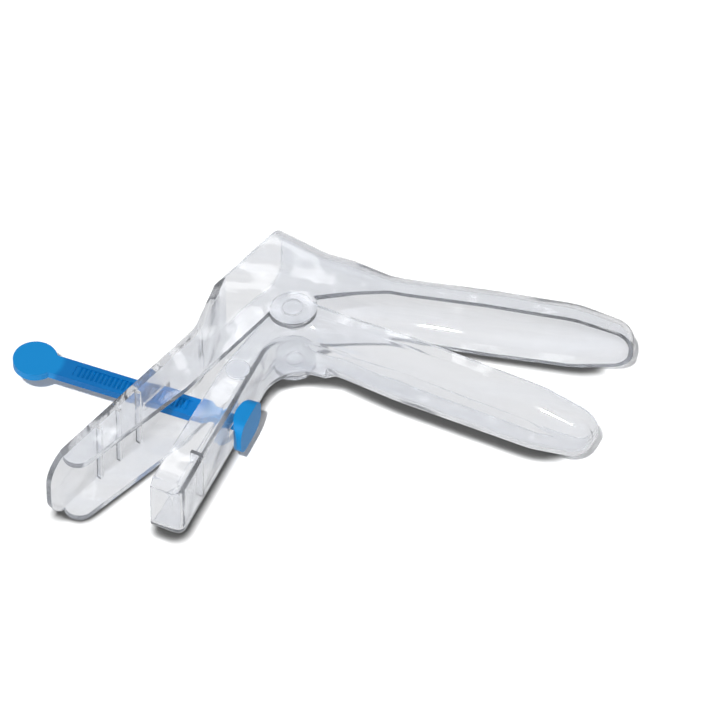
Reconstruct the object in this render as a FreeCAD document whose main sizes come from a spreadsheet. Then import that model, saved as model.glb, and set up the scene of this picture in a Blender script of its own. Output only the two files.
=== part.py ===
import FreeCAD, Part
import math
import os

import Sketcher

# A single-use bivalve speculum of the plier type, lying on its side.
# The hinge axis is Z, the upper valve's blade runs along X, and the lowest side face is Z = 0.
# Lengths are millimetres and angles are degrees.

doc = FreeCAD.newDocument("BivalveSpeculum")
sizes = doc.addObject("Spreadsheet::Sheet", "Sizes")
places = doc.addObject("Spreadsheet::Sheet", "Places")

DRIVING = {
    # walls and side fits, along the hinge axis
    "overall_width": 28.0,
    "cheek_wall": 2.2,
    "side_gap": 0.3,
    "valve_wall": 1.6,
    "flange_wall": 1.8,
    # both blades, seen face on
    "throat_width": 24.4,
    "blade_width": 25.6,
    "nose_width": 24.2,
    "nose_end_width": 14.6,
    "nose_radius": 8.4,
    "nose_shoulder_radius": 30.0,
    "nose_length": 20.0,
    "upper_nose_rise": 1.6,
    "belly_reach": 62.0,
    "blend_radius": 60.0,
    "blade_edge_radius": 7.0,
    # upper valve, blade and collar
    "upper_reach": 112.3,
    "upper_rim_height": 14.3,
    "upper_depth": 10.5,
    "throat_reach": 34.0,
    "flare_start": 14.0,
    "collar_end": 28.5,
    "collar_end_height": 24.6,
    "collar_step": 16.0,
    "collar_step_height": 27.7,
    "collar_waist": 7.0,
    "collar_waist_height": 29.0,
    "collar_blend_radius": 12.0,
    "mouth_setback": 26.0,
    "mouth_top": 27.2,
    "mouth_lip": 9.0,
    "mouth_overrun": 8.0,
    # rear handle, measured along its own direction from the hinge and across it
    "rear_handle_angle": 242.5,
    "rear_setback": 18.9,
    "rear_bend": 28.0,
    "rear_bend_radius": 12.0,
    "rear_web": 2.0,
    "rear_flange_end": 97.0,
    "rear_flange_edge": 4.3,
    "rear_toe_edge": 9.6,
    "rear_toe_reach": 5.0,
    "rear_toe_radius": 5.0,
    "rear_taper_start": 50.0,
    "rear_taper_radius": 25.0,
    "tongue_reach": 7.5,
    "tongue_root": 8.0,
    "tongue_radius": 10.5,
    "rear_rib_start": 60.0,
    "rear_rib_pitch": 10.0,
    "rib_height": 1.6,
    "rib_width": 1.4,
    # cheeks and hinge
    "cheek_reach": 20.0,
    "cheek_height": 11.0,
    "rim_root": 30.0,
    "cheek_radius": 10.0,
    "upper_ear_radius": 8.2,
    "lower_ear_radius": 7.5,
    "trunnion_radius": 3.4,
    "trunnion_length": 1.7,
    "trunnion_gap": 0.08,
    "trunnion_end_gap": 0.1,
    "rest_opening": 14.9,
    # lower valve, in its own blade direction
    "lower_reach": 109.4,
    "lower_rim_height": 6.0,
    "lower_depth": 11.0,
    "lower_flare_start": 20.0,
    "lower_throat_reach": 40.0,
    "elbow_radius": 14.0,
    "elbow_reach": 1.3,
    "front_web": 1.8,
    "front_foot_reach": 3.1,
    "front_handle_length": 88.0,
    "front_foot_setback": 8.2,
    "front_bulge": 9.5,
    "front_bulge_place": 32.0,
    "front_bulge_radius": 40.0,
    "front_end_radius": 3.5,
    "front_edge_radius": 2.2,
    "front_rib_place": 70.0,
    "front_rib_height": 3.0,
    # locking bar
    "bar_drop": 42.7,
    "bar_angle": 169.0,
    "bar_length": 84.0,
    "bar_width": 8.0,
    "bar_thickness": 2.8,
    "bar_neck_width": 4.4,
    "bar_neck_end": 21.0,
    "bar_gap": 0.3,
    "bar_blend_radius": 1.6,
    "thumb_disc_radius": 7.5,
    "head_stand_off": 12.0,
    "head_gap": 0.2,
    "head_height": 17.0,
    "head_width": 13.0,
    "head_thickness": 5.2,
    "head_corner_radius": 5.0,
    "track_depth": 0.3,
    "tooth_width": 4.6,
    "tooth_pitch": 1.6,
    "tooth_depth": 0.5,
    "tooth_start": 29.0,
    "tooth_run": 40.0,
    "rear_slot_place": 50.0,
    "rear_slot_length": 12.6,
    "front_slot_length": 13.0,
    # how far a cutting shape runs past the face that it cuts
    "overrun": 3.0,
}

for row, (alias, value) in enumerate(DRIVING.items(), start=1):
    sizes.set(f"A{row}", alias.replace("_", " "))
    sizes.set(f"B{row}", str(value))
    sizes.setAlias(f"B{row}", alias)
doc.recompute()

derived_aliases = []


def derive(alias, formula):
    """Puts a dimension worked out from other ones into the second sheet."""
    derived_aliases.append(alias)
    row = len(derived_aliases)
    places.set(f"A{row}", alias.replace("_", " "))
    places.set(f"B{row}", "=" + formula)
    places.setAlias(f"B{row}", alias)


def place(alias, x_formula, y_formula):
    """A corner of an outline, as two formulas."""
    derive(alias + "_x", x_formula)
    derive(alias + "_y", y_formula)


REAR_TURN = "Sizes.rear_handle_angle * 1 deg"


def place_by_rear_handle(alias, across, along):
    """A corner given across the rear handle, forwards positive, and along it from the hinge."""
    place(
        alias,
        f"({along}) * cos({REAR_TURN}) - ({across}) * sin({REAR_TURN})",
        f"({along}) * sin({REAR_TURN}) + ({across}) * cos({REAR_TURN})",
    )


def place_both_sides(alias, reach, width):
    """Two corners of a face-on outline, the same distance on either side of the middle plane."""
    place(alias + "_left", reach, f"(Sizes.overall_width - {width}) / 2")
    place(alias + "_right", reach, f"(Sizes.overall_width + {width}) / 2")


def place_unit(alias, start, end):
    """The direction of a side, as a vector one long."""
    across = f"({end}_x - {start}_x)"
    along = f"({end}_y - {start}_y)"
    length = f"sqrt({across} ^ 2 + {along} ^ 2)"
    place(alias, f"{across} / {length}", f"{along} / {length}")


def place_beyond(alias, start, end, distance):
    """The point reached by going on past the end of a side."""
    unit = alias + "_way"
    place_unit(unit, start, end)
    place(alias, f"{end}_x + {distance} * {unit}_x", f"{end}_y + {distance} * {unit}_y")


def place_insets(guide, walls):
    """Moves every corner of a closed guide outline in by the wall of each of its sides.

    Wall number k belongs to the side that runs from corner k to the next one.
    """
    for index, corner in enumerate(guide):
        following = guide[(index + 1) % len(guide)]
        inset = "hollow_" + corner
        back = inset + "_back"
        ahead = inset + "_ahead"
        place_unit(back, corner, guide[index - 1])
        place_unit(ahead, corner, following)
        turn = f"({ahead}_x * {back}_y - {ahead}_y * {back}_x)"
        step_x = f"{walls[index - 1]} * {ahead}_x + {walls[index]} * {back}_x"
        step_y = f"{walls[index - 1]} * {ahead}_y + {walls[index]} * {back}_y"
        place(inset, f"{corner}_x + ({step_x}) / {turn}", f"{corner}_y + ({step_y}) / {turn}")


def value_of(name):
    """The number in a named cell of either sheet."""
    sheet = sizes if name.startswith("Sizes.") else places
    return float(sheet.get(name.split(".")[-1]))


def rounded_outline(name, corners, placement=None):
    """A closed sketch through named corners, each sharp or rounded by a named radius.

    A corner is a construction point held by its two formulas. The sides lie on these points,
    and each rounding is an arc tangent to its two sides. The corners run anticlockwise.
    """
    sketch = doc.addObject("Sketcher::SketchObject", name)
    if placement is not None:
        sketch.Placement = placement
    count = len(corners)
    points = [
        FreeCAD.Vector(value_of(corner + "_x"), value_of(corner + "_y"))
        for corner, radius in corners
    ]
    begins = []
    ends = []
    circles = []
    for index, (corner, radius) in enumerate(corners):
        here = points[index]
        if radius is None:
            begins.append(here)
            ends.append(here)
            circles.append(None)
            continue
        back = (points[index - 1] - here).normalize()
        ahead = (points[(index + 1) % count] - here).normalize()
        half = back.getAngle(ahead) / 2
        reach = value_of(radius) / math.tan(half)
        centre = here + (back + ahead).normalize() * (value_of(radius) / math.sin(half))
        ends.append(here + back * reach)
        begins.append(here + ahead * reach)
        circles.append((centre, (back * -1).cross(ahead).z > 0))
    for point in points:
        sketch.addGeometry(Part.Point(point), True)
    for index in range(count):
        sketch.addGeometry(Part.LineSegment(begins[index], ends[(index + 1) % count]), False)
    arcs = {}
    for index, circle in enumerate(circles):
        if circle is None:
            continue
        centre, left_turn = circle
        pair = (ends[index], begins[index]) if left_turn else (begins[index], ends[index])
        first, last = (math.atan2(p.y - centre.y, p.x - centre.x) for p in pair)
        if last < first:
            last += 2 * math.pi
        round_part = Part.Circle(centre, FreeCAD.Vector(0, 0, 1), value_of(corners[index][1]))
        arcs[index] = sketch.addGeometry(Part.ArcOfCircle(round_part, first, last), False)
    for index, (corner, radius) in enumerate(corners):
        for kind, axis in (("DistanceX", "_x"), ("DistanceY", "_y")):
            held = Sketcher.Constraint(kind, index, 1, value_of(corner + axis))
            number = sketch.addConstraint(held)
            sketch.setExpression(f"Constraints[{number}]", f"Places.{corner}{axis}")
    for index, (corner, radius) in enumerate(corners):
        side_after = count + index
        side_before = count + (index - 1) % count
        if radius is None:
            sketch.addConstraint(Sketcher.Constraint("Coincident", side_after, 1, index, 1))
            sketch.addConstraint(Sketcher.Constraint("Coincident", side_before, 2, index, 1))
            continue
        sketch.addConstraint(Sketcher.Constraint("PointOnObject", index, 1, side_after))
        sketch.addConstraint(Sketcher.Constraint("PointOnObject", index, 1, side_before))
        near, far = (1, 2) if circles[index][1] else (2, 1)
        arc = arcs[index]
        sketch.addConstraint(Sketcher.Constraint("Tangent", side_before, 2, arc, near))
        sketch.addConstraint(Sketcher.Constraint("Tangent", side_after, 1, arc, far))
        number = sketch.addConstraint(Sketcher.Constraint("Radius", arc, value_of(radius)))
        sketch.setExpression(f"Constraints[{number}]", radius)
    return sketch


def extrude(name, sketch, direction, length, behind="0"):
    """The outline carried along a direction, and also backwards where a length is given."""
    solid = doc.addObject("Part::Extrusion", name)
    solid.Base = sketch
    solid.DirMode = "Custom"
    solid.Dir = direction
    solid.Solid = True
    solid.setExpression("LengthFwd", length)
    solid.setExpression("LengthRev", behind)
    return solid


def combine(kind, name, pieces):
    """A boolean of two or more solids."""
    result = doc.addObject(kind, name)
    if kind == "Part::Cut":
        result.Base, result.Tool = pieces
    else:
        result.Shapes = pieces
    result.Refine = True
    return result


def place_object(solid, x="0", y="0", z="0", turn="0 deg"):
    """Binds a solid's position, and its turn about the hinge direction."""
    axis_turn = FreeCAD.Rotation(FreeCAD.Vector(0, 0, 1), 1)
    solid.Placement = FreeCAD.Placement(FreeCAD.Vector(), axis_turn)
    solid.setExpression("Placement.Base.x", x)
    solid.setExpression("Placement.Base.y", y)
    solid.setExpression("Placement.Base.z", z)
    solid.setExpression("Placement.Rotation.Angle", turn)


def cylinder(name, radius, height, x="0", y="0", z="0"):
    solid = doc.addObject("Part::Cylinder", name)
    place_object(solid, x, y, z)
    solid.setExpression("Radius", radius)
    solid.setExpression("Height", height)
    return solid


def box(name, length, width, height, x="0", y="0", z="0", turn="0 deg"):
    solid = doc.addObject("Part::Box", name)
    place_object(solid, x, y, z, turn)
    solid.setExpression("Length", length)
    solid.setExpression("Width", width)
    solid.setExpression("Height", height)
    return solid


def round_edges(name, base, radii_for):
    """Rounds each edge for which the test gives a pair of radii, for its start and its end."""
    doc.recompute()
    chosen = []
    for number, edge in enumerate(base.Shape.Edges, start=1):
        radii = radii_for(edge)
        if radii is not None:
            chosen.append((number, *radii))
    rounded = doc.addObject("Part::Fillet", name)
    rounded.Base = base
    rounded.Edges = chosen
    return rounded


def middle_of(edge):
    return edge.valueAt((edge.FirstParameter + edge.LastParameter) / 2)


ALONG_HINGE = FreeCAD.Vector(0, 0, 1)
ACROSS_BLADES = FreeCAD.Vector(0, 1, 0)
FACE_ON = FreeCAD.Placement(
    FreeCAD.Vector(), FreeCAD.Rotation(FreeCAD.Vector(1, 0, 0), 90)
)

# Places shared by the pieces

derive("mid_plane", "Sizes.overall_width / 2")
derive("lower_width", "Sizes.overall_width - 2 * Sizes.cheek_wall - 2 * Sizes.side_gap")
derive("lower_side", "Sizes.cheek_wall + Sizes.side_gap")
derive("far", "Sizes.upper_reach + Sizes.rear_flange_end")
derive("nose_inner_radius", "Sizes.nose_radius - Sizes.valve_wall")
derive("nose_shoulder_inner_radius", "Sizes.nose_shoulder_radius - Sizes.valve_wall")
derive("blend_convex_radius", "Sizes.blend_radius - Sizes.valve_wall")
derive("blend_concave_radius", "Sizes.blend_radius + Sizes.valve_wall")

# Upper valve, side outline

derive("upper_back", "Sizes.upper_rim_height + Sizes.upper_depth")
place("upper_tip_rim", "Sizes.upper_reach", "Sizes.upper_rim_height")
place("upper_tip_back", "Sizes.upper_reach", "upper_back - Sizes.upper_nose_rise")
place("upper_nose_back", "Sizes.upper_reach - Sizes.nose_length", "upper_back")
place("collar_end", "Sizes.collar_end", "Sizes.collar_end_height")
place("collar_step", "Sizes.collar_step", "Sizes.collar_step_height")
place("collar_waist", "Sizes.collar_waist", "Sizes.collar_waist_height")
place_by_rear_handle("mouth_crest", "-Sizes.mouth_setback", "-Sizes.mouth_top")
place_by_rear_handle("mouth_foot", "-Sizes.mouth_setback", "Sizes.mouth_lip")
place_by_rear_handle("rear_bend", "-Sizes.rear_setback", "Sizes.rear_bend")
place_by_rear_handle("rear_heel", "-Sizes.rear_setback", "Sizes.rear_flange_end")
place_by_rear_handle(
    "rear_toe", "-Sizes.rear_toe_edge", "Sizes.rear_flange_end + Sizes.rear_toe_reach"
)
place_by_rear_handle("rear_taper", "-Sizes.rear_flange_edge", "Sizes.rear_taper_start")
place_by_rear_handle("rear_root", "-Sizes.rear_flange_edge", "0")
place("cheek_front", "Sizes.cheek_reach", "Sizes.cheek_height")
place("upper_rim_root", "Sizes.rim_root", "Sizes.upper_rim_height")
place_beyond("crest_overrun", "collar_waist", "mouth_crest", "Sizes.mouth_overrun")
place_beyond("foot_overrun", "rear_bend", "mouth_foot", "2 * Sizes.mouth_overrun")
place_beyond("heel_overrun", "rear_bend", "rear_heel", "Sizes.rear_flange_end")
place("upper_below", "Sizes.upper_reach", "-far")
derive("collar_convex_radius", "Sizes.collar_blend_radius - Sizes.valve_wall")
derive("collar_concave_radius", "Sizes.collar_blend_radius + Sizes.valve_wall")
derive("rear_bend_inner_radius", "Sizes.rear_bend_radius + Sizes.rear_web")
UPPER_HOLLOW = [
    ("upper_below", None),
    ("upper_tip_back", None),
    ("upper_nose_back", "Places.blend_convex_radius"),
    ("collar_end", "Places.collar_concave_radius"),
    ("collar_step", "Places.collar_convex_radius"),
    ("collar_waist", "Places.collar_concave_radius"),
    ("crest_overrun", None),
    ("foot_overrun", None),
    ("rear_bend", "Places.rear_bend_inner_radius"),
    ("heel_overrun", None),
]
place_insets(
    [corner for corner, radius in UPPER_HOLLOW],
    ["Sizes.valve_wall"] * 6 + ["0"] + ["Sizes.rear_web"] * 2 + ["0"],
)

# Face-on outlines, as stations from the handle end to the tip

place_both_sides("upper_behind", "-far", "Sizes.overall_width")
place_both_sides("upper_flare", "Sizes.flare_start", "Sizes.overall_width")
place_both_sides("upper_throat", "Sizes.throat_reach", "Sizes.throat_width")
place_both_sides("upper_belly", "Sizes.belly_reach", "Sizes.blade_width")
place_both_sides("upper_nose", "Sizes.upper_reach - Sizes.nose_length", "Sizes.nose_width")
place_both_sides("upper_end", "Sizes.upper_reach", "Sizes.nose_end_width")
place_both_sides("lower_rear", "-far", "lower_width")
place_both_sides("lower_flare", "Sizes.lower_flare_start", "lower_width")
place_both_sides("lower_throat", "Sizes.lower_throat_reach", "Sizes.blade_width")
place_both_sides("lower_nose", "Sizes.lower_reach - Sizes.nose_length", "Sizes.nose_width")
place_both_sides("lower_end", "Sizes.lower_reach", "Sizes.nose_end_width")

CONVEX = ("Sizes.blend_radius", "Places.blend_convex_radius")
CONCAVE = ("Sizes.blend_radius", "Places.blend_concave_radius")
SHOULDER = ("Sizes.nose_shoulder_radius", "Places.nose_shoulder_inner_radius")
NOSE = ("Sizes.nose_radius", "Places.nose_inner_radius")
SHARP = (None, None)
UPPER_FACE = [
    ("upper_behind", SHARP),
    ("upper_flare", CONVEX),
    ("upper_throat", CONCAVE),
    ("upper_belly", CONVEX),
    ("upper_nose", SHOULDER),
    ("upper_end", NOSE),
]
LOWER_FACE = [
    ("lower_rear", SHARP),
    ("lower_flare", CONCAVE),
    ("lower_throat", CONVEX),
    ("lower_nose", SHOULDER),
    ("lower_end", NOSE),
]


def face_outline(stations, inner):
    """The corners of a face-on outline, up one side and back down the other."""
    prefix = "hollow_" if inner else ""
    left = [(prefix + name + "_left", radii[inner]) for name, radii in stations]
    right = [(prefix + name + "_right", radii[inner]) for name, radii in reversed(stations)]
    return left + right


def inset_face(stations, root_wall):
    side_walls = [root_wall] + ["Sizes.valve_wall"] * (len(stations) - 2)
    guide = [corner for corner, radius in face_outline(stations, 0)]
    place_insets(guide, side_walls + ["Sizes.valve_wall"] + side_walls[::-1] + ["0"])


inset_face(UPPER_FACE, "Sizes.cheek_wall")
inset_face(LOWER_FACE, "Sizes.flange_wall")

# Lower valve, side outline in its own blade direction

derive("lower_back", "Sizes.lower_rim_height - Sizes.lower_depth")
place("lower_tip_rim", "Sizes.lower_reach", "Sizes.lower_rim_height")
place("lower_ear_top", "-Sizes.trunnion_radius", "Sizes.lower_rim_height")
place("lower_ear_rear", "-Sizes.lower_rim_height", "0")
place("front_bulge", "-Sizes.front_bulge", "-Sizes.front_bulge_place")
place("front_heel", "-Sizes.front_foot_setback", "-Sizes.front_handle_length")
place("front_foot", "Sizes.front_foot_reach", "-Sizes.front_handle_length")
place("elbow", "-Sizes.elbow_reach", "lower_back")
place("lower_tip_back", "Sizes.lower_reach", "lower_back")
place("lower_above", "Sizes.lower_reach", "far")
place("lower_above_behind", "-far", "far")
place("lower_behind", "-far", "-Sizes.front_handle_length")
derive("elbow_inner_radius", "Sizes.elbow_radius + Sizes.front_web")
LOWER_HOLLOW = [
    ("lower_above", None),
    ("lower_above_behind", None),
    ("lower_behind", None),
    ("front_foot", None),
    ("elbow", "Places.elbow_inner_radius"),
    ("lower_tip_back", None),
]
place_insets(
    [corner for corner, radius in LOWER_HOLLOW],
    ["0", "0", "Sizes.front_web", "Sizes.front_web"] + ["Sizes.valve_wall"] * 2,
)

# Locking bar, whose pivot stands in front of the front handle's web

derive("front_rise", "Sizes.front_handle_length + lower_back")
derive("front_slope", "(Sizes.front_foot_reach + Sizes.elbow_reach) / front_rise")
derive("web_reach", "front_slope * (Sizes.bar_drop + lower_back) - Sizes.elbow_reach")
derive("pivot_reach", "web_reach + Sizes.head_stand_off")
derive("rest_cosine", "cos(Sizes.rest_opening * 1 deg)")
derive("rest_sine", "sin(Sizes.rest_opening * 1 deg)")
derive("pivot_x", "pivot_reach * rest_cosine - Sizes.bar_drop * rest_sine")
derive("pivot_y", "-pivot_reach * rest_sine - Sizes.bar_drop * rest_cosine")
derive("head_radius", "Sizes.head_stand_off - Sizes.head_gap")
derive("bar_floor", "mid_plane - Sizes.bar_thickness / 2")
derive("slot_floor", "bar_floor - Sizes.bar_gap")
derive("slot_height", "Sizes.bar_thickness + 2 * Sizes.bar_gap")
for side, sign in (("left", "-"), ("right", "")):
    half_neck = f"{sign}Sizes.bar_neck_width / 2"
    half_bar = f"{sign}Sizes.bar_width / 2"
    place("neck_root_" + side, "Sizes.head_stand_off - Sizes.head_thickness / 2", half_neck)
    place("neck_end_" + side, "Sizes.bar_neck_end", half_neck)
    place("bar_root_" + side, "Sizes.bar_neck_end", half_bar)
    place("bar_end_" + side, "Sizes.bar_length", half_bar)
doc.recompute()


def crossed_outlines(name, side, face):
    """A side outline and a face-on outline carried through each other."""
    side_solid = extrude(name + "_side", side, ALONG_HINGE, "Sizes.overall_width")
    face_solid = extrude(name + "_face", face, ACROSS_BLADES, "Places.far", "Places.far")
    return combine("Part::MultiCommon", name + "_block", [side_solid, face_solid])


def beside_middle(point):
    return abs(point.z - value_of("mid_plane")) > value_of("Sizes.overall_width") / 4


# Upper valve

outer_side = rounded_outline(
    "upper_side_outline",
    [
        ("upper_tip_rim", None),
        ("upper_tip_back", None),
        ("upper_nose_back", "Sizes.blend_radius"),
        ("collar_end", "Sizes.collar_blend_radius"),
        ("collar_step", "Sizes.collar_blend_radius"),
        ("collar_waist", "Sizes.collar_blend_radius"),
        ("mouth_crest", None),
        ("mouth_foot", None),
        ("rear_bend", "Sizes.rear_bend_radius"),
        ("rear_heel", None),
        ("rear_toe", "Sizes.rear_toe_radius"),
        ("rear_taper", "Sizes.rear_taper_radius"),
        ("rear_root", None),
        ("cheek_front", "Sizes.cheek_radius"),
        ("upper_rim_root", "Sizes.cheek_radius"),
    ],
)
outer_face = rounded_outline("upper_face_outline", face_outline(UPPER_FACE, 0), FACE_ON)
hollow_side = rounded_outline(
    "upper_hollow_outline", [("hollow_" + corner, radius) for corner, radius in UPPER_HOLLOW]
)
hollow_face = rounded_outline("upper_hollow_face", face_outline(UPPER_FACE, 1), FACE_ON)


def upper_back_radii(radius):
    """Picks the long back edges of the upper blade; the rounding runs on along the collar."""
    bottom = value_of("upper_back") - value_of("Sizes.upper_depth") / 4

    def radii_for(edge):
        point = middle_of(edge)
        along_blade = value_of("Sizes.throat_reach") < point.x < value_of("upper_nose_back_x")
        if along_blade and point.y > bottom and beside_middle(point):
            return radius, radius
        return None

    return radii_for


edge_radius = value_of("Sizes.blade_edge_radius")
inner_edge_radius = edge_radius - value_of("Sizes.valve_wall")
upper_block = crossed_outlines("upper_outside", outer_side, outer_face)
upper_hollow_block = crossed_outlines("upper_hollow", hollow_side, hollow_face)
upper_outside = round_edges("upper_outside", upper_block, upper_back_radii(edge_radius))
upper_hollow = round_edges(
    "upper_hollow", upper_hollow_block, upper_back_radii(inner_edge_radius)
)
upper_ears = cylinder("upper_ears", "Sizes.upper_ear_radius", "Sizes.overall_width")
upper_solid = combine("Part::MultiFuse", "upper_solid", [upper_outside, upper_ears])
upper_shell = combine("Part::Cut", "upper_shell", [upper_solid, upper_hollow])

place_by_rear_handle(
    "tongue", "-Sizes.rear_setback", "Sizes.rear_flange_end - Sizes.tongue_root"
)
doc.recompute()
tongue_plate = box(
    "tongue_plate",
    "Sizes.tongue_reach + Sizes.tongue_root",
    "Sizes.rear_web",
    "Sizes.overall_width",
    "Places.tongue_x",
    "Places.tongue_y",
    turn=REAR_TURN,
)
handle_turn = math.radians(value_of("Sizes.rear_handle_angle"))
rear_direction = FreeCAD.Vector(math.cos(handle_turn), math.sin(handle_turn))


def tongue_end(edge):
    """The two short edges at the free end of the tongue, across its thickness."""
    point = middle_of(edge)
    at_end = point.dot(rear_direction) > value_of("Sizes.rear_flange_end")
    radius = value_of("Sizes.tongue_radius")
    return (radius, radius) if at_end and beside_middle(point) and across_web(edge) else None


def across_web(edge):
    direction = edge.valueAt(edge.LastParameter) - edge.valueAt(edge.FirstParameter)
    along = abs(direction.dot(rear_direction))
    return along + abs(direction.z) < direction.Length / 2


tongue = round_edges("tongue", tongue_plate, tongue_end)
upper_additions = [upper_shell, tongue]
for number in range(3):
    place_by_rear_handle(
        f"rear_rib_{number}",
        "Sizes.rear_web / 2 - Sizes.rear_setback",
        f"Sizes.rear_rib_start + {number} * Sizes.rear_rib_pitch",
    )
    doc.recompute()
    rib = box(
        f"rear_rib_{number}",
        "Sizes.rib_width",
        "Sizes.rear_web / 2 + Sizes.rib_height",
        "Sizes.overall_width - Sizes.cheek_wall",
        f"Places.rear_rib_{number}_x",
        f"Places.rear_rib_{number}_y",
        "Sizes.cheek_wall / 2",
        REAR_TURN,
    )
    upper_additions.append(rib)
upper_whole = combine("Part::MultiFuse", "upper_whole", upper_additions)

place_by_rear_handle(
    "rear_slot",
    "-Sizes.rear_setback - Sizes.overrun",
    "Sizes.rear_slot_place - Sizes.rear_slot_length / 2",
)
derive("socket_radius", "Sizes.trunnion_radius + Sizes.trunnion_gap")
derive("socket_floor", "lower_side - Sizes.trunnion_length - Sizes.trunnion_end_gap")
doc.recompute()
rear_slot = box(
    "rear_slot",
    "Sizes.rear_slot_length",
    "Sizes.rear_web + 2 * Sizes.overrun",
    "Places.slot_height",
    "Places.rear_slot_x",
    "Places.rear_slot_y",
    "Places.slot_floor",
    REAR_TURN,
)
sockets = cylinder(
    "sockets",
    "Places.socket_radius",
    "Sizes.overall_width - 2 * Places.socket_floor",
    z="Places.socket_floor",
)
upper_cuts = combine("Part::MultiFuse", "upper_cuts", [rear_slot, sockets])
upper_valve = combine("Part::Cut", "upper_valve", [upper_whole, upper_cuts])

# Lower valve

lower_side_outline = rounded_outline(
    "lower_side_outline",
    [
        ("lower_tip_rim", None),
        ("lower_ear_top", None),
        ("lower_ear_rear", None),
        ("front_bulge", "Sizes.front_bulge_radius"),
        ("front_heel", None),
        ("front_foot", None),
        ("elbow", "Sizes.elbow_radius"),
        ("lower_tip_back", None),
    ],
)
lower_face_outline = rounded_outline("lower_face_outline", face_outline(LOWER_FACE, 0), FACE_ON)
lower_hollow_side = rounded_outline(
    "lower_hollow_outline", [("hollow_" + corner, radius) for corner, radius in LOWER_HOLLOW]
)
lower_hollow_face = rounded_outline("lower_hollow_face", face_outline(LOWER_FACE, 1), FACE_ON)


def lower_back_radii(blade_radius, handle_radius):
    """Radii for the back edges of the blade and the front edges of the handle.

    The elbow's rounding changes evenly from one to the other.
    """
    back = value_of("lower_back") + value_of("Sizes.lower_depth") / 4
    elbow_end = value_of("lower_back") - value_of("Sizes.elbow_radius") / 2

    def radius_at(point):
        return handle_radius if point.y < elbow_end else blade_radius

    def radii_for(edge):
        point = middle_of(edge)
        in_front = point.x > value_of("web_reach") - value_of("Sizes.flange_wall") * 2
        above_foot = point.y > value_of("Sizes.overrun") - value_of("Sizes.front_handle_length")
        if point.y < back and in_front and above_foot and beside_middle(point):
            ends = [edge.valueAt(edge.FirstParameter), edge.valueAt(edge.LastParameter)]
            if edge.Orientation == "Reversed":
                ends.reverse()
            return radius_at(ends[0]), radius_at(ends[1])
        return None

    return radii_for


def lower_blade_radii(radius):
    """Picks the long back edges of the lower blade; the rounding runs on around the nose."""
    back = value_of("lower_back") + value_of("Sizes.lower_depth") / 4

    def radii_for(edge):
        point = middle_of(edge)
        along_blade = value_of("Sizes.lower_throat_reach") < point.x < value_of("lower_nose_left_x")
        if along_blade and point.y < back and beside_middle(point):
            return radius, radius
        return None

    return radii_for


def front_end_radii(radius):
    """Picks the two long bottom edges of the front handle's end."""
    bottom = value_of("Sizes.overrun") - value_of("Sizes.front_handle_length")

    def radii_for(edge):
        point = middle_of(edge)
        direction = edge.valueAt(edge.LastParameter) - edge.valueAt(edge.FirstParameter)
        level = abs(direction.y) + abs(direction.z) < direction.Length / 2
        if point.y < bottom and beside_middle(point) and level:
            return radius, radius
        return None

    return radii_for


nose_room = box(
    "nose_room",
    "Sizes.lower_reach",
    "Sizes.lower_reach",
    "Sizes.overall_width",
    "Sizes.belly_reach",
    "-Sizes.lower_reach / 2",
)


def rounded_lower(name, side, face, blade_radius, handle_radius, end_radius):
    """The lower valve's rounded outside or its hollow, in two parts, the nose and the rest."""
    block = crossed_outlines(name, side, face)
    rear = combine("Part::Cut", name + "_rear", [block, nose_room])
    radii = lower_back_radii(blade_radius, handle_radius)
    rear_round = round_edges(name + "_rear_round", rear, radii)
    rear_round = round_edges(name + "_end_round", rear_round, front_end_radii(end_radius))
    blade_round = round_edges(name + "_blade_round", block, lower_blade_radii(blade_radius))
    nose = combine("Part::MultiCommon", name + "_nose", [blade_round, nose_room])
    return combine("Part::MultiFuse", name, [rear_round, nose])


front_edge_radius = value_of("Sizes.front_edge_radius")
front_end_radius = value_of("Sizes.front_end_radius")
flange_wall = value_of("Sizes.flange_wall")
lower_outside = rounded_lower(
    "lower_outside",
    lower_side_outline,
    lower_face_outline,
    edge_radius,
    front_edge_radius,
    front_end_radius,
)
lower_hollow = rounded_lower(
    "lower_hollow",
    lower_hollow_side,
    lower_hollow_face,
    inner_edge_radius,
    front_edge_radius - flange_wall,
    front_end_radius - flange_wall,
)
lower_ears = cylinder(
    "lower_ears", "Sizes.lower_ear_radius", "Places.lower_width", z="Places.lower_side"
)
lower_solid = combine("Part::MultiFuse", "lower_solid", [lower_outside, lower_ears])
lower_shell = combine("Part::Cut", "lower_shell", [lower_solid, lower_hollow])

derive("trunnion_height", "Sizes.trunnion_length + Sizes.flange_wall / 2")
derive("trunnion_start", "lower_side - Sizes.trunnion_length")
derive("trunnion_far_start", "Sizes.overall_width - trunnion_start - trunnion_height")
derive("front_rib_reach", "web_reach + front_slope * (Sizes.front_rib_place - Sizes.bar_drop)")
doc.recompute()
trunnions = [
    cylinder(name, "Sizes.trunnion_radius", "Places.trunnion_height", z=start)
    for name, start in (
        ("trunnion_left", "Places.trunnion_start"),
        ("trunnion_right", "Places.trunnion_far_start"),
    )
]
front_rib = box(
    "front_rib",
    "Sizes.front_web / 2 + Sizes.front_rib_height",
    "Sizes.rib_width",
    "Places.lower_width - Sizes.flange_wall",
    "Places.front_rib_reach - Sizes.front_web - Sizes.front_rib_height",
    "-Sizes.front_rib_place",
    "Places.lower_side + Sizes.flange_wall / 2",
)
lower_whole = combine(
    "Part::MultiFuse", "lower_whole", [lower_shell, front_rib] + trunnions
)
front_slot = box(
    "front_slot",
    "Sizes.front_web + 2 * Sizes.overrun",
    "Sizes.front_slot_length",
    "Places.slot_height",
    "Places.web_reach - Sizes.front_web - Sizes.overrun",
    "-Sizes.bar_drop - Sizes.front_slot_length / 2",
    "Places.slot_floor",
)
lower_valve = combine("Part::Cut", "lower_valve", [lower_whole, front_slot])
place_object(lower_valve, turn="-Sizes.rest_opening * 1 deg")

# Locking bar

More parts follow.
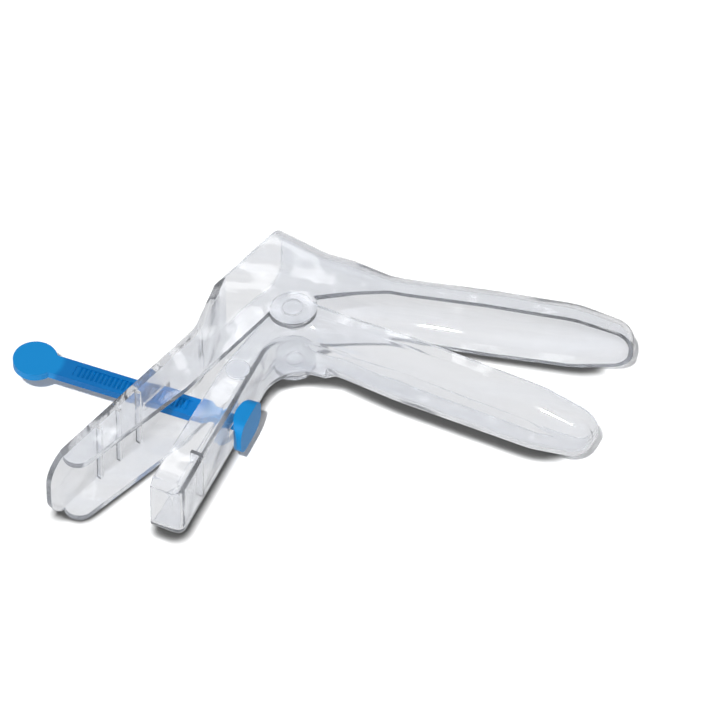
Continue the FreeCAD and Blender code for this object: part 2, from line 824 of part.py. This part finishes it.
bar_outline = rounded_outline(
    "bar_outline",
    [
        ("neck_root_left", None),
        ("neck_end_left", "Sizes.bar_blend_radius"),
        ("bar_root_left", "Sizes.bar_blend_radius"),
        ("bar_end_left", None),
        ("bar_end_right", None),
        ("bar_root_right", "Sizes.bar_blend_radius"),
        ("neck_end_right", "Sizes.bar_blend_radius"),
        ("neck_root_right", None),
    ],
)
strip = extrude("strip", bar_outline, ALONG_HINGE, "Sizes.bar_thickness")
place_object(strip, z="Places.bar_floor")
thumb_disc = cylinder(
    "thumb_disc",
    "Sizes.thumb_disc_radius",
    "Sizes.bar_thickness",
    x="Sizes.bar_length",
    z="Places.bar_floor",
)
head_block = box(
    "head_block",
    "Sizes.head_stand_off",
    "Sizes.head_height",
    "Sizes.head_width",
    "Places.head_radius - Sizes.head_thickness",
    "-Sizes.head_height / 2",
    "Places.mid_plane - Sizes.head_width / 2",
)


def head_corners(edge):
    """The four edges of the head that run along the bar."""
    radius = value_of("Sizes.head_corner_radius")
    direction = edge.valueAt(edge.LastParameter) - edge.valueAt(edge.FirstParameter)
    return (radius, radius) if abs(direction.x) > abs(direction.y) + abs(direction.z) else None


head_plate = round_edges("head_plate", head_block, head_corners)
head_rocker = cylinder(
    "head_rocker",
    "Places.head_radius",
    "Sizes.head_width",
    z="Places.mid_plane - Sizes.head_width / 2",
)
head = combine("Part::MultiCommon", "head", [head_plate, head_rocker])
bar_blank = combine("Part::MultiFuse", "bar_blank", [strip, thumb_disc, head])

track = box(
    "track",
    "Sizes.tooth_run + Sizes.tooth_pitch",
    "Sizes.tooth_width",
    "Sizes.overrun",
    "Sizes.tooth_start - Sizes.tooth_pitch / 2",
    "-Sizes.tooth_width / 2",
    "Places.bar_floor + Sizes.bar_thickness - Sizes.track_depth",
)
tooth_count = int(value_of("Sizes.tooth_run") / value_of("Sizes.tooth_pitch"))
bar_cuts = [track]
for number in range(tooth_count):
    tooth = doc.addObject("Part::Box", f"tooth_{number}")
    tooth.Placement = FreeCAD.Placement(
        FreeCAD.Vector(), FreeCAD.Rotation(FreeCAD.Vector(0, 1, 0), 45)
    )
    tooth.setExpression("Length", "Sizes.tooth_depth * sqrt(2)")
    tooth.setExpression("Height", "Sizes.tooth_depth * sqrt(2)")
    tooth.setExpression("Width", "Sizes.tooth_width")
    tooth.setExpression(
        "Placement.Base.x", f"Sizes.tooth_start + {number} * Sizes.tooth_pitch"
    )
    tooth.setExpression("Placement.Base.y", "-Sizes.tooth_width / 2")
    tooth.setExpression(
        "Placement.Base.z", "Places.bar_floor + Sizes.bar_thickness - Sizes.track_depth"
    )
    bar_cuts.append(tooth)
bar_cutter = combine("Part::MultiFuse", "bar_cutter", bar_cuts)
locking_bar = combine("Part::Cut", "locking_bar", [bar_blank, bar_cutter])
place_object(locking_bar, "Places.pivot_x", "Places.pivot_y", turn="Sizes.bar_angle * 1 deg")

doc.recompute()

for item in doc.Objects:
    if "Invalid" in item.State or "Error" in item.State:
        raise ValueError(f"{item.Label} did not build")

os.makedirs("parts", exist_ok=True)
for piece in (upper_valve, lower_valve, locking_bar):
    shape = piece.Shape
    if shape.isNull() or not shape.isValid() or len(shape.Solids) != 1:
        raise ValueError(f"{piece.Label} is not one sound solid")
    shape.exportStep(f"parts/{piece.Label}.step")
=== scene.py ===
import math

import bpy
from mathutils import Matrix, Vector


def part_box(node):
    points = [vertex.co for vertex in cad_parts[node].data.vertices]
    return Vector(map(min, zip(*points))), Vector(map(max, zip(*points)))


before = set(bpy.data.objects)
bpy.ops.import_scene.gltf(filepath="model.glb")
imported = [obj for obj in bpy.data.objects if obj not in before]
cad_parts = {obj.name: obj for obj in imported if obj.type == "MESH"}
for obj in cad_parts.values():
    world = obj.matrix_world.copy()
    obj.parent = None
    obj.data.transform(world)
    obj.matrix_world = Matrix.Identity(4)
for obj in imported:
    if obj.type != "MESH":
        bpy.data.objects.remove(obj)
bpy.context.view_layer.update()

# The view: 48 degrees above the table and turned 11.3 degrees, from far enough away that
# the picture is close to parallel.
RISE = math.radians(48)
TURN = math.radians(11.3)
VIEW_WIDTH = 0.2383
VIEW_DISTANCE = 3.0
VIEW_NEAREST = 0.1
VIEW_FARTHEST = 20.0
SENSOR_WIDTH = 36.0
AIM_ACROSS = 0.0215
AIM_UP = 0.00157

RIGHT = Vector((math.cos(TURN), math.sin(TURN), 0))
AHEAD = Vector(
    (-math.sin(TURN) * math.cos(RISE), math.cos(TURN) * math.cos(RISE), -math.sin(RISE))
)
UP = RIGHT.cross(AHEAD)

# The sun lamp stands a little up and left of the camera, so each shadow hugs its piece on the
# lower right.
SUN_LEAN = math.radians(10)
SUN_LEAN_RIGHT = 0.6
SUN_LEAN_DOWN = 0.8
SUN_SPREAD = math.radians(2)
SUN_STRENGTH = 3.7

# The sky is an even grey, brighter overhead, and weaker where it lights the table.
SKY_LOW = 0.62
SKY_HIGH = 0.85
SKY_TOP = 0.9
SKY_ON_TABLE = 0.17

# The softboxes: place, size and power.
SOFTBOX_BEHIND = ((-0.25, 1.2, 1.3), 0.16, 0.28)
SOFTBOX_LEFT = ((-1.2, 0.2, 0.9), 0.5, 1.6)

# The table. Its painted shadow, darkened into its colour, begins where a piece stands within the
# shadow's reach.
TABLE_SIZE = 6.0
TABLE_LEVEL = -0.0002
TABLE_WHITE = 0.93
TABLE_DARKEST = 0.03
TABLE_LIFT = 0.06
TABLE_SEEN_THROUGH = 0.8
SHADOW_REACH = 0.005
SHADOW_RAYS = 12
SHADOW_START = 0.6
SHADOW_END = 0.95

# The clear plastic.
CLEAR_TINT = (0.944, 0.952, 0.97, 1)
CLEAR_ROUGHNESS = 0.07
CLEAR_IOR = 1.57
MILK = (0.66, 0.685, 0.74, 1)
FILM = (0.3, 0.31, 0.32, 1)
WAVE_SCALE = 48.0
WAVE_DETAIL = 0.6
WAVE_HEIGHT = 0.0022
STREAK_SCALE = (12, 110, 60)
STREAK_DETAIL = 2.0
STREAK_START = 0.35
STREAK_END = 0.7
HAZE_LEAST = 0.03
HAZE_MOST = 0.19
UPPER_SEED = 1.0
LOWER_SEED = 7.0
UPPER_BLADE_TURN = 0.0
LOWER_BLADE_TURN = math.radians(14.9)

# The ejector's round mark beside the lower valve's hinge ear: its centre on the table plane,
# and the height above which it shows.
MARK_RADIUS = 0.0042
MARK_EDGE = 0.0004
MARK_DEPTH = 0.05
MARK_ROUGHNESS = 0.25
MARK_HAZE = 0.3
LOWER_MARK = (Vector((-0.0125, -0.0288, 0)), 0.0235)

# The blue plastic. The bar's thumb disc is the end farthest to the left, and its head the end
# nearest the hinge. Both are painted paler than the strip between them, as painted light.
bar_low, bar_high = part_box("locking_bar")
MID_PLANE = 0.014
DISC_RADIUS = 0.0075
DISC_CENTRE = Vector((bar_low[0] + DISC_RADIUS, bar_high[1] - DISC_RADIUS, MID_PLANE))
DISC_REACH = 0.011
HEAD_CENTRE = Vector((bar_high[0] - 0.004, bar_low[1] + 0.0085, MID_PLANE))
HEAD_REACH = 0.016
PAINTED_LIT_START = 0.75
STRIP_BLUE = (0.0, 0.115, 0.36, 1)
PAINTED_LIT_BLUE = (0.004, 0.2, 0.5, 1)
BLUE_ROUGHNESS = 0.42
BLUE_SPECULAR = 0.2
CLOUD_SCALE = 160.0
CLOUD_DETAIL = 3.0
CLOUD_SHARE = 0.25
GRAIN_SCALE = 900.0
GRAIN_DETAIL = 2.0
GRAIN_HEIGHT = 0.00002
GRAIN_STRENGTH = 0.5


def look_along(place, direction):
    """A matrix that puts a lamp at a place and points it along a direction."""
    turn = direction.to_track_quat("-Z", "Y").to_matrix().to_4x4()
    return Matrix.Translation(place) @ turn


def add_camera():
    """The camera, at the photograph's angle and aim, with a very long lens."""
    data = bpy.data.cameras.new("camera")
    data.sensor_width = SENSOR_WIDTH
    data.lens = SENSOR_WIDTH * VIEW_DISTANCE / VIEW_WIDTH
    data.clip_start = VIEW_NEAREST
    data.clip_end = VIEW_FARTHEST
    camera = bpy.data.objects.new("camera", data)
    place = RIGHT * AIM_ACROSS + UP * AIM_UP - AHEAD * VIEW_DISTANCE
    turn = Matrix((RIGHT, UP, -AHEAD)).transposed().to_4x4()
    camera.matrix_world = Matrix.Translation(place) @ turn
    bpy.context.scene.collection.objects.link(camera)
    bpy.context.scene.camera = camera


def new_material(name):
    """A material and its empty node tree."""
    made = bpy.data.materials.new(name)
    made.use_nodes = True
    tree = made.node_tree
    tree.nodes.clear()
    return made, tree


def add(tree, kind, inputs=None, **settings):
    """One node, with its settings, and with a value or a socket for each named input."""
    node = tree.nodes.new("ShaderNode" + kind)
    for key, value in settings.items():
        setattr(node, key, value)
    for key, value in (inputs or {}).items():
        socket = node.inputs[key]
        if isinstance(value, bpy.types.NodeSocket):
            tree.links.new(value, socket)
        else:
            socket.default_value = value
    return node


def scaled(tree, value, factor, offset):
    """The value times the factor, plus the offset."""
    node = add(tree, "Math", {0: value, 1: factor, 2: offset}, operation="MULTIPLY_ADD")
    return node.outputs["Value"]


def combined(tree, first, second, operation):
    """Two values combined by one operation of the Math node."""
    return add(tree, "Math", {0: first, 1: second}, operation=operation).outputs["Value"]


def ramp(tree, value, ends, results, course="LINEAR"):
    """The first result up to the first end, the second from the second end on."""
    node = add(
        tree,
        "MapRange",
        {"Value": value, 1: ends[0], 2: ends[1], 3: results[0], 4: results[1]},
        interpolation_type=course,
    )
    return node.outputs["Result"]


def noise(tree, where, scale, detail, seed=None):
    """Soft noise between 0 and 1, with a fourth coordinate where a seed is given."""
    values = {"Vector": where, "Scale": scale, "Detail": detail}
    if seed is None:
        return add(tree, "TexNoise", values).outputs["Fac"]
    values["W"] = seed
    return add(tree, "TexNoise", values, noise_dimensions="4D").outputs["Fac"]


def distance(tree, where, centre):
    """The distance from a point."""
    return add(tree, "VectorMath", {0: where, 1: centre}, operation="DISTANCE").outputs["Value"]


def mixed(tree, share, first, second):
    """A share of the second shader, and the first for the rest."""
    return add(tree, "MixShader", {0: share, 1: first, 2: second}).outputs["Shader"]


def finish(tree, shader):
    """Joins the shader to the material's output."""
    output = add(tree, "OutputMaterial")
    tree.links.new(shader, output.inputs["Surface"])


def inside_round(tree, where, mark):
    """1 inside a round mark on a side face, falling softly to 0 at its edge."""
    centre, height = mark
    flat = add(tree, "VectorMath", {0: where, 1: (1, 1, 0)}, operation="MULTIPLY")
    away = distance(tree, flat.outputs["Vector"], centre)
    disc = ramp(tree, away, (MARK_RADIUS - MARK_EDGE, MARK_RADIUS), (1.0, 0.0), "SMOOTHSTEP")
    level = add(tree, "SeparateXYZ", {"Vector": where}).outputs["Z"]
    above = combined(tree, level, height, "GREATER_THAN")
    return combined(tree, disc, above, "MULTIPLY")


def clear_plastic(name, seed, turn, mark=None):
    """Clear moulded plastic.

    The faces are slightly wavy, faint streaks run along the blade, and an ejector's round mark
    is duller and cloudier. For lamps it is tinted film, so its shadow on the table is soft grey.
    """
    made, tree = new_material(name)
    where = add(tree, "TexCoord").outputs["Object"]
    relief = noise(tree, where, WAVE_SCALE, WAVE_DETAIL, seed)
    flow = add(
        tree,
        "Mapping",
        {"Vector": where, "Rotation": (0, 0, turn), "Scale": STREAK_SCALE},
    )
    streak = noise(tree, flow.outputs["Vector"], 1.0, STREAK_DETAIL)
    haze = ramp(tree, streak, (STREAK_START, STREAK_END), (HAZE_LEAST, HAZE_MOST))
    roughness = CLEAR_ROUGHNESS
    if mark:
        round_mark = inside_round(tree, where, mark)
        relief = scaled(tree, round_mark, -MARK_DEPTH, relief)
        haze = scaled(tree, round_mark, MARK_HAZE, haze)
        roughness = scaled(tree, round_mark, MARK_ROUGHNESS, CLEAR_ROUGHNESS)
    bump = add(tree, "Bump", {"Height": relief, "Distance": WAVE_HEIGHT})
    body = add(
        tree,
        "BsdfPrincipled",
        {
            "Base Color": CLEAR_TINT,
            "Roughness": roughness,
            "IOR": CLEAR_IOR,
            "Transmission Weight": 1.0,
            "Normal": bump.outputs["Normal"],
        },
    )
    milk = add(tree, "BsdfDiffuse", {"Color": MILK})
    cloudy = mixed(tree, haze, body.outputs["BSDF"], milk.outputs["BSDF"])
    film = add(tree, "BsdfTransparent", {"Color": FILM})
    for_lamps = add(tree, "LightPath").outputs["Is Shadow Ray"]
    finish(tree, mixed(tree, for_lamps, cloudy, film.outputs["BSDF"]))
    return made


def blue_plastic(name):
    """Opaque blue plastic with a fine satin grain, and painted light: paler at the thumb disc
    and the head.
    """
    made, tree = new_material(name)
    where = add(tree, "TexCoord").outputs["Object"]
    # Painted light: the blue is painted paler near the thumb disc and the head, as if they
    # caught more light.
    ends = [
        ramp(
            tree,
            distance(tree, where, centre),
            (PAINTED_LIT_START * reach, reach),
            (1.0, 0.0),
            "SMOOTHSTEP",
        )
        for centre, reach in ((DISC_CENTRE, DISC_REACH), (HEAD_CENTRE, HEAD_REACH))
    ]
    painted_lit = combined(tree, ends[0], ends[1], "MAXIMUM")
    cloud = noise(tree, where, CLOUD_SCALE, CLOUD_DETAIL)
    colour = add(tree, "Mix", data_type="RGBA")
    factor, dark, light = (colour.inputs[number] for number in (0, 6, 7))
    tree.links.new(scaled(tree, cloud, CLOUD_SHARE, painted_lit), factor)
    dark.default_value = STRIP_BLUE
    light.default_value = PAINTED_LIT_BLUE
    grain = noise(tree, where, GRAIN_SCALE, GRAIN_DETAIL)
    bump = add(
        tree,
        "Bump",
        {"Height": grain, "Distance": GRAIN_HEIGHT, "Strength": GRAIN_STRENGTH},
    )
    body = add(
        tree,
        "BsdfPrincipled",
        {
            "Base Color": colour.outputs[2],
            "Roughness": BLUE_ROUGHNESS,
            "Specular IOR Level": BLUE_SPECULAR,
            "Normal": bump.outputs["Normal"],
        },
    )
    finish(tree, body.outputs["BSDF"])
    return made


def table_white(name):
    """The white table, with a painted shadow darkening its colour close under a piece, and white
    where plastic shows it.
    """
    made, tree = new_material(name)
    # Painted shadow: the table's colour turns dark where a piece stands close, found by ambient
    # occlusion.
    near = add(tree, "AmbientOcclusion", {"Distance": SHADOW_REACH}, samples=SHADOW_RAYS)
    painted_shadow_colour = ramp(
        tree,
        near.outputs["AO"],
        (SHADOW_START, SHADOW_END),
        (TABLE_DARKEST, TABLE_WHITE),
        "SMOOTHSTEP",
    )
    matt = add(tree, "BsdfDiffuse", {"Color": painted_shadow_colour})
    lift = add(tree, "Emission", {"Color": (1, 1, 1, 1), "Strength": TABLE_LIFT})
    lit = add(tree, "AddShader", {0: matt.outputs["BSDF"], 1: lift.outputs["Emission"]})
    plain = add(tree, "Emission", {"Color": (1, 1, 1, 1), "Strength": TABLE_SEEN_THROUGH})
    path = add(tree, "LightPath")
    through = combined(
        tree, path.outputs["Is Transmission Ray"], path.outputs["Is Glossy Ray"], "MAXIMUM"
    )
    finish(tree, mixed(tree, through, lit.outputs["Shader"], plain.outputs["Emission"]))
    return made


def coat(node, made):
    """Gives a CAD node its finish."""
    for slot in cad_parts[node].material_slots:
        slot.material = made


def add_table():
    """A white table just under the part."""
    bpy.ops.mesh.primitive_plane_add(size=TABLE_SIZE, location=(0, 0, TABLE_LEVEL))
    table = bpy.context.object
    table.name = "table"
    table.data.materials.append(table_white("table_white"))


def add_sky():
    """Grey all round, and weaker where it lights the table."""
    sky = bpy.data.worlds.new("sky")
    bpy.context.scene.world = sky
    sky.use_nodes = True
    tree = sky.node_tree
    tree.nodes.clear()
    toward = add(tree, "TexCoord").outputs["Generated"]
    height = add(tree, "SeparateXYZ", {"Vector": toward}).outputs["Z"]
    level = ramp(tree, height, (0.0, SKY_TOP), (SKY_LOW, SKY_HIGH))
    lighting = add(tree, "LightPath").outputs["Is Diffuse Ray"]
    strength = add(tree, "Mix", {"Factor": lighting, "A": level, "B": SKY_ON_TABLE})
    shade = add(tree, "Background", {"Strength": strength.outputs["Result"]})
    shade.inputs["Color"].default_value = (1, 1, 1, 1)
    output = add(tree, "OutputWorld")
    tree.links.new(shade.outputs["Background"], output.inputs["Surface"])


def add_sun():
    """The main lamp, leaning down and to the right of the view."""
    lamp = bpy.data.lights.new("lamp", "SUN")
    lamp.energy = SUN_STRENGTH
    lamp.angle = SUN_SPREAD
    sun = bpy.data.objects.new("lamp", lamp)
    lean = RIGHT * SUN_LEAN_RIGHT - UP * SUN_LEAN_DOWN
    sun.matrix_world = look_along(Vector((0, 0, 1)), AHEAD + lean * math.tan(SUN_LEAN))
    bpy.context.scene.collection.objects.link(sun)


def add_softbox(name, place, size, power):
    """A soft square lamp turned towards the hinge."""
    lamp = bpy.data.lights.new(name, "AREA")
    lamp.size = size
    lamp.energy = power
    box = bpy.data.objects.new(name, lamp)
    box.matrix_world = look_along(Vector(place), -Vector(place))
    bpy.context.scene.collection.objects.link(box)


bpy.context.scene.view_settings.view_transform = "Standard"
add_camera()
add_table()
add_sky()
add_sun()
add_softbox("softbox_behind", *SOFTBOX_BEHIND)
add_softbox("softbox_left", *SOFTBOX_LEFT)
coat("upper_valve", clear_plastic("upper_clear", UPPER_SEED, UPPER_BLADE_TURN))
coat("lower_valve", clear_plastic("lower_clear", LOWER_SEED, LOWER_BLADE_TURN, LOWER_MARK))
coat("locking_bar", blue_plastic("bar_blue"))
